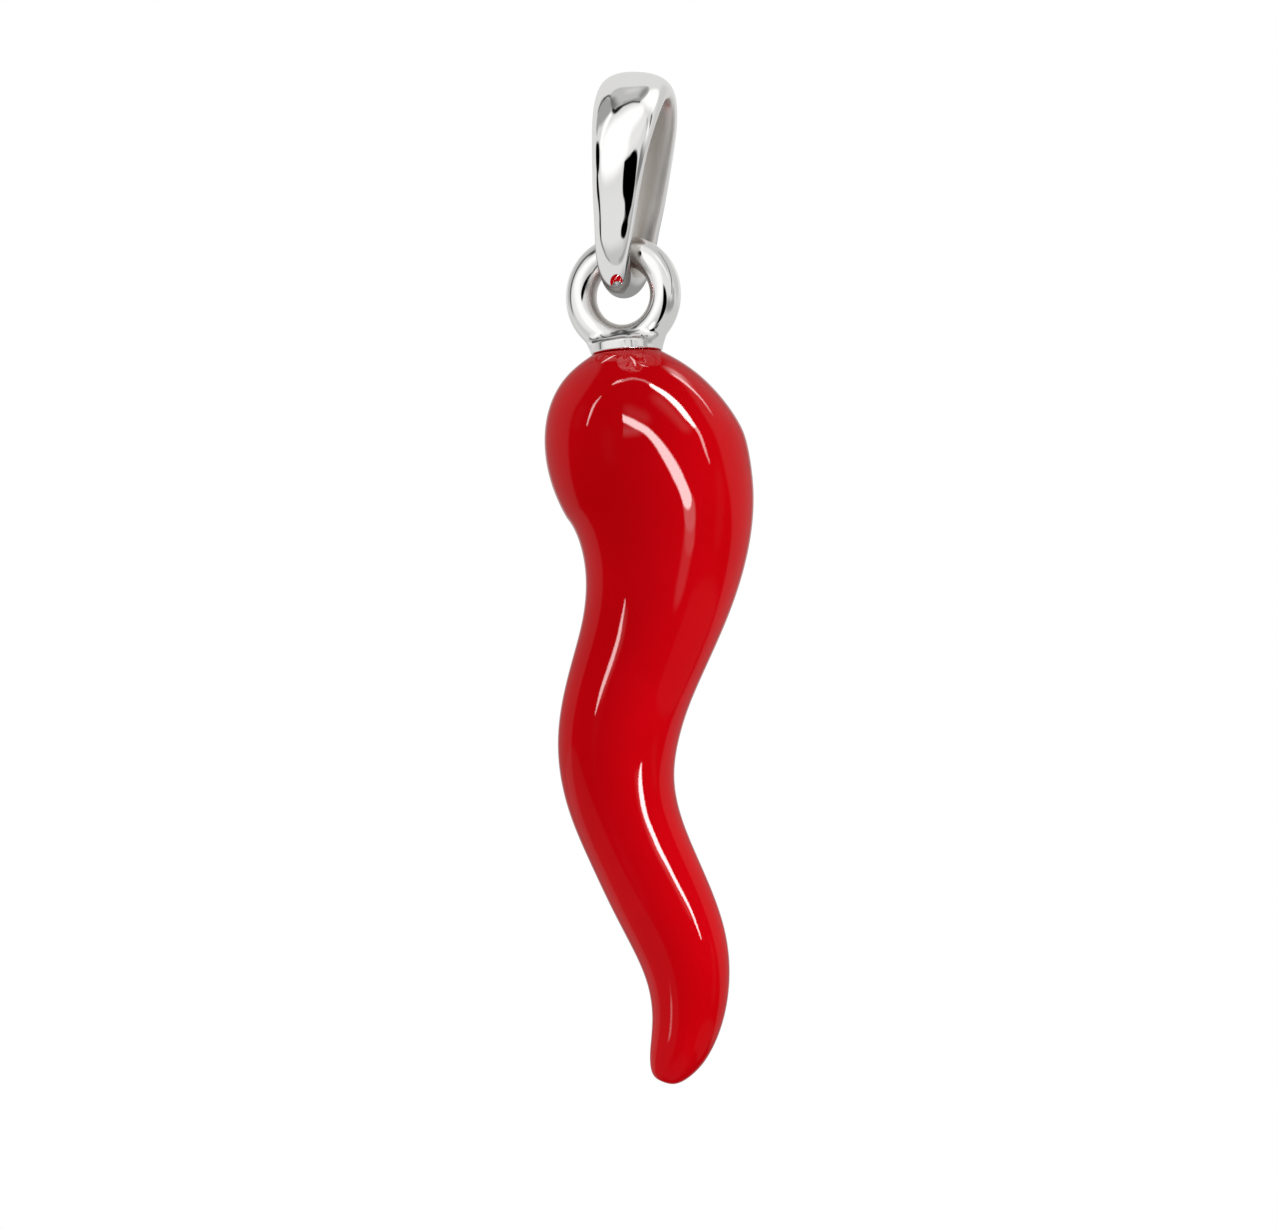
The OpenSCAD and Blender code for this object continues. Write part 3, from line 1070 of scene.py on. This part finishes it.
# %% Room of the horn
painted_room("horn_room", 0.01, [
    # Faint walls
    (0.20, 16, [(180, 5, 40)]),
    (0.09, 4, [(58, -34, 9), (80, -32, 11), (105, -32, 12)]),
    (0.08, 20, [(0, -80, 30)]),
    (0.05, 10, [(-88, 22, 5), (-84, 32, 5)]),
    (0.06, 14, [(-46, 2, 6), (-46, 18, 6)]),
    (0.07, 10, [(78, -8, 6), (80, 8, 6)]),
    (0.20, 5, [(-140, -14, 16), (-125, 5, 24), (-125, 35, 24)]),
    (0.24, 5, [(126, 2, 24), (119, 23, 27), (134, 36, 20)]),
    # Strip along the outline on the right, with its glow, and the wall behind
    (3.2, 10, [(139, 53, 3.5)]),
    (6.0, 2, [(134, 57, 1.2), (131, 53, 2), (127, 49, 1.6), (122, 45, 0.9), (115, 41, 0.3)]),
    (0.5, 12, [(180, 4, 20)]),
], [horn_piece], away=1.1)

# %% [markdown]
# ## Bright strips on the horn's shoulder
#
# A long soft box shows in enamel as a curved white strip, and such strips tell more of the
# horn's form than its shading does. On a sphere far away a strip is tied to a direction alone,
# and the horn's bends would show it again and again. A sphere that stands close ties it to a
# place as well. So each stretch of the horn has a near sphere with its own strips: here the
# broad strip down the middle of the shoulder with a pale glow at both ends, and thin ones that
# follow its upper edge. They are many times as bright as white cloth, since enamel mirrors so
# little.

# %% Strips on the shoulder
painted_room("horn_strips", 0.0, [
    # Glow round the strips
    (1.0, 8, [(-19, 37, 3), (-8, 38, 2)]),
    (0.35, 8, [(-12, 51, 4), (0, 49, 4)]),
    (0.6, 10, [(26, 61, 3), (34, 54, 3), (41, 44, 3)]),
    (0.5, 5, [(33, -8, 5.5), (29, -24, 5)]),
    (1.1, 3, [(33.5, 2, 5.8), (33.5, -9, 5.2)]),
    (2.2, 3, [(32.5, 4, 5.8), (33, -1, 5.5)]),
    # Broad strip, cut off square at its upper end
    (15.0, 2, [(-22, 46.5, 2.2), (-10, 43.5, 2.9), (1.5, 39, 3), (9.5, 31, 3.3), (16, 23.5, 3.9),
               (21.5, 18, 4.3), (25.5, 14, 4.5), (28.5, 10, 4.7), (30.5, 7, 4.9)]),
    (0.0, 0.8, [(-27, 54, 3.6), (-27, 40, 5), (-28, 32, 5)]),
    # Arc over it, thin at first and broad on the right, and a short line on the left
    (9.0, 1, [(-39, 68, 0.3), (-33, 70.5, 0.7), (-25, 72.3, 0.8)]),
    (3.0, 1, [(-25, 72.3, 0.8), (-7, 75, 0.7), (14, 74.3, 0.7), (24, 72.2, 0.8)]),
    (23.0, 1.2, [(25.5, 71, 1.2), (39, 65.4, 2), (46, 59, 2.4), (49, 52.4, 2.3), (52, 45, 1.4)]),
    (8.0, 1.2, [(53, 43, 1.3), (55, 36.5, 1.2), (56.5, 30.5, 1.1), (59, 25, 0.4)]),
    (9.0, 1, [(-59.5, 37, 0.4), (-56.6, 45, 0.8), (-53.9, 51.5, 0.7), (-49, 58, 0.2)]),
], [horn_piece], away=12 * MM, centre=below(16), step=0.5)

# %% Card low on the left and a glint on the tip
painted_room("horn_card", 0.0, [
    (0.10, 4, [(-98, -40, 28), (-80, -60, 30)]),
    (3.0, 2, [(-42, -60, 1.2), (-36, -68, 1.2)]),
], [horn_piece], away=16 * MM, centre=below(19))

# %% Fine lines under the collar
painted_room("collar_lines", 0.0, [
    (6.0, 2, [(-60, 33, 0.3), (-63, 41, 1), (-67, 51, 1.3), (-71, 61, 0.5)]),
    (6.0, 2, [(-20, 71, 0.3), (-9, 65, 1.2), (-3, 58, 1.4), (-1, 48, 1.2), (0, 36, 0.3)]),
    (6.0, 2, [(9, 45, 0.5), (14, 41, 1.5), (20, 36, 0.5)]),
], [horn_piece], away=2.2 * MM, centre=below(9.4), step=1)

# %% [markdown]
# ## Bright strips further down the horn
#
# The two bends below catch the soft box once more: the waist as a short strip, and the last bend
# as a long one that runs out toward the tip. One sphere for both would tie them together, and
# moving one would move the other. Two spheres of 5 mm, each round its own bend, keep them apart.

# %% Strip at the waist
painted_room("waist_strip", 0.0, [
    (0.5, 5, [(-31, 18, 2.5), (-33, 8, 4), (-40, -6, 3)]),
    (11.0, 2, [(-32, 24, 0.5), (-34.5, 17, 1.6), (-35, 12, 2.2), (-37, 6, 2.7), (-40, 0, 2.5),
               (-42.5, -5, 2), (-45.5, -14, 0.5)]),
], [horn_piece], away=5 * MM, centre=below(20), step=0.5)

# %% Strip toward the tip
painted_room("tip_strip", 0.0, [
    (0.7, 6, [(23, 45, 2), (23, 32, 4), (33, 16, 4), (42, -2, 3)]),
    (23.0, 2, [(30, 50, 0.6), (28.5, 46, 1.9), (26.5, 42, 2.7), (25.5, 38, 3), (28, 34.5, 3.2),
               (30, 30, 3.3), (34, 24.5, 2.9), (37.5, 17, 2.6), (41.5, 9.5, 2.3), (45, 1.5, 1.7),
               (47, -7, 1.3), (49.5, -18, 0.4)]),
], [horn_piece], away=5 * MM, centre=below(27), step=0.5)

# %% [markdown]
# ## Soft light for the red
#
# The rooms above only mirror. The body of the red needs broad light from all round that doesn't
# mirror in it, and the floor needs some too. Painted spheres could give it, but a lamp is less
# noisy on a matt surface. Large ones light the whole horn, and two the size of a thumbnail,
# a few centimetres off, lift the waist's right side and the tip.

# %% Soft lamp helper
def soft_lamp(name, az, el, watts, size, members, away=0.7, centre=ROOM_CENTRE):
    lamp = bpy.data.lights.new(name, "AREA")
    lamp.energy = watts
    lamp.size = size
    holder = bpy.data.objects.new(name, lamp)
    way = Vector(directions(az, el))
    turn = way.to_track_quat("Z", "Y").to_matrix().to_4x4()
    holder.matrix_world = Matrix.Translation(centre + way * away) @ turn
    scene.collection.objects.link(holder)
    holder.light_linking.receiver_collection = receivers("lit_by_" + name, members)
    holder.visible_glossy = False
    holder.visible_camera = False
    print(name, "gives", watts, "W")


print("lamps show neither to the camera nor in a mirror")

# %% Lamps
SMALL_LAMP = 20 * MM
HORN_LAMPS = [
    # name, azimuth and elevation in degrees, watts, size in metres
    ("front_lamp", -10, 25, 1.9, 0.7),
    ("top_lamp", 10, 70, 1.8, 0.6),
    ("right_lamp", 80, 20, 0.2, 0.6),
    ("right_rim_lamp", 112, 45, 2.2, 0.6),
    ("left_lamp", -110, 20, 3.4, 0.6),
]
for name, az, el, watts, size in HORN_LAMPS:
    soft_lamp(name, az, el, watts, size, [horn_piece])
soft_lamp("side_lamp", 60, 15, 0.0034, SMALL_LAMP, [horn_piece], away=30 * MM, centre=below(26))
soft_lamp("tip_lamp", 15, -35, 0.0022, SMALL_LAMP, [horn_piece], away=25 * MM, centre=below(31))
soft_lamp("floor_lamp", 0, 80, 95, 4, [floor], away=3)
